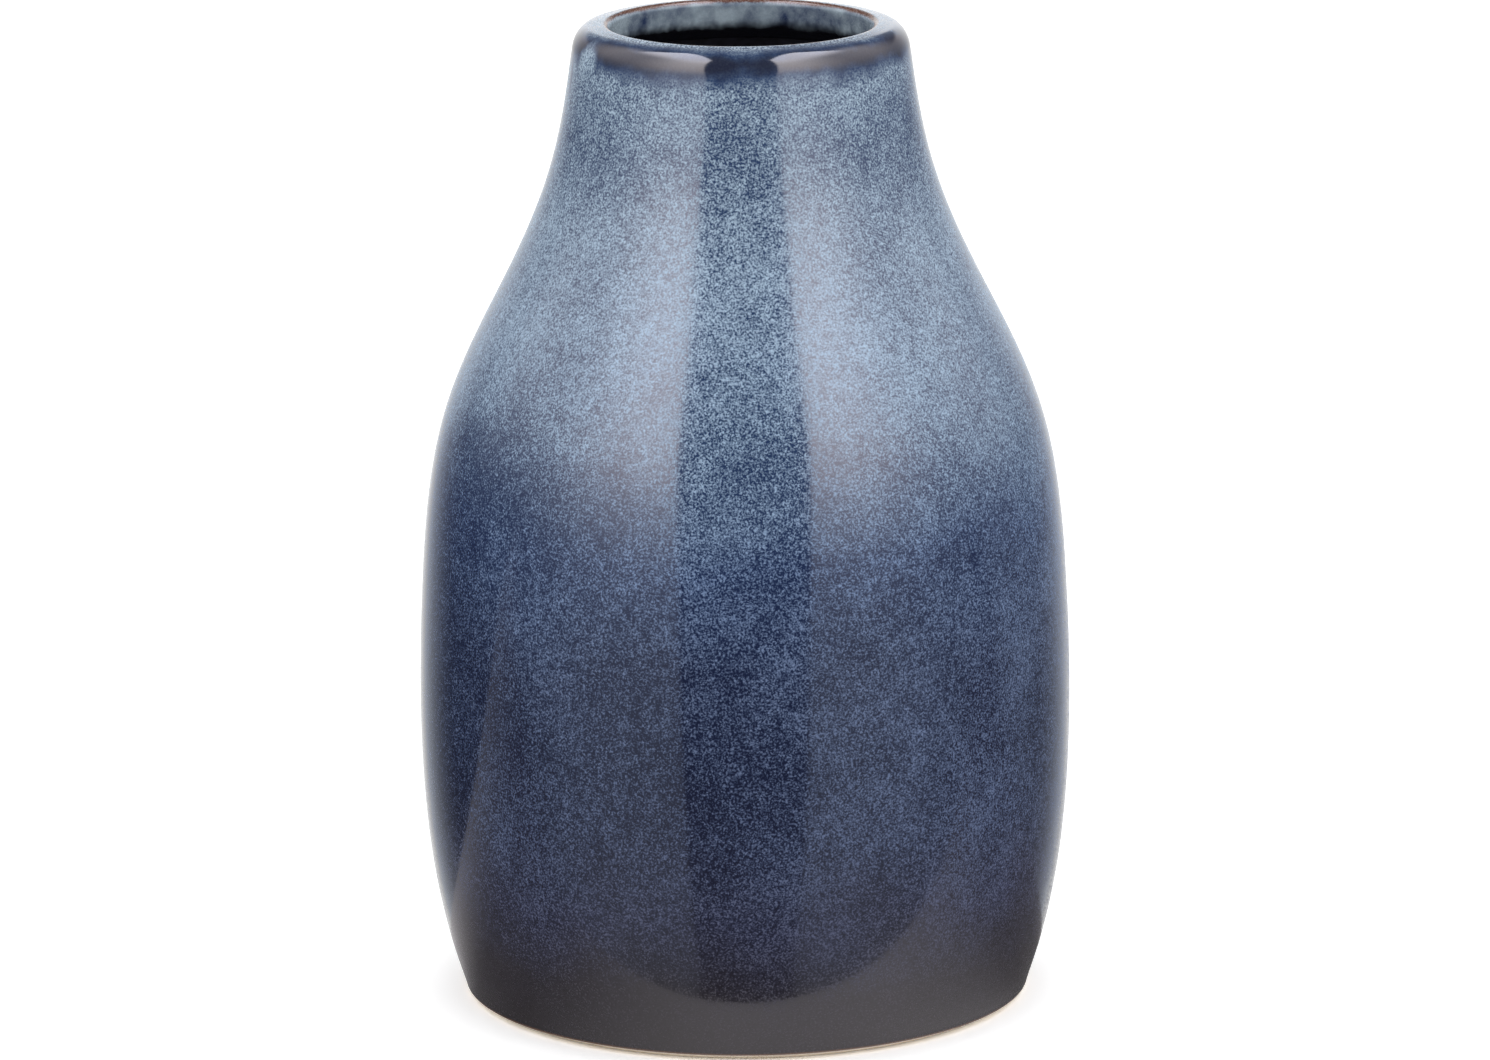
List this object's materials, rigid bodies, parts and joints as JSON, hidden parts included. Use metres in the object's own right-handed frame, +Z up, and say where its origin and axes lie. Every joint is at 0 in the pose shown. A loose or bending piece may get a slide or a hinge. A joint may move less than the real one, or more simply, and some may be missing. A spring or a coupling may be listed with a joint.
{
  "type": "vase",
  "caption": "Bottle-shaped stoneware vase with a full belly, short neck, thick flat lip and dry foot ring, in a speckled glossy reactive glaze.",
  "frame": {"origin": "centre of the foot ring, on the plane that the vase stands on", "axes": "+Z up along the vase's axis through the mouth; the vase is turned about Z, so X and Y are alike"},
  "size_m": [0.1326, 0.1326, 0.2],
  "materials": {
    "stoneware": "matte, bare buff clay with fine grit",
    "dark_glaze": "gloss, near-black brown",
    "blue_glaze": "gloss, speckled and cloudy, light blue at the neck to dark blue at the lower belly",
    "liner_glaze": "gloss, black"
  },
  "bodies": {
    "root": {"stoneware_body": "stoneware", "outer_base_glaze": "dark_glaze", "blue_top_glaze": "blue_glaze", "liner_glaze": "liner_glaze", "foot_recess_glaze": "dark_glaze"}
  },
  "joints": []
}
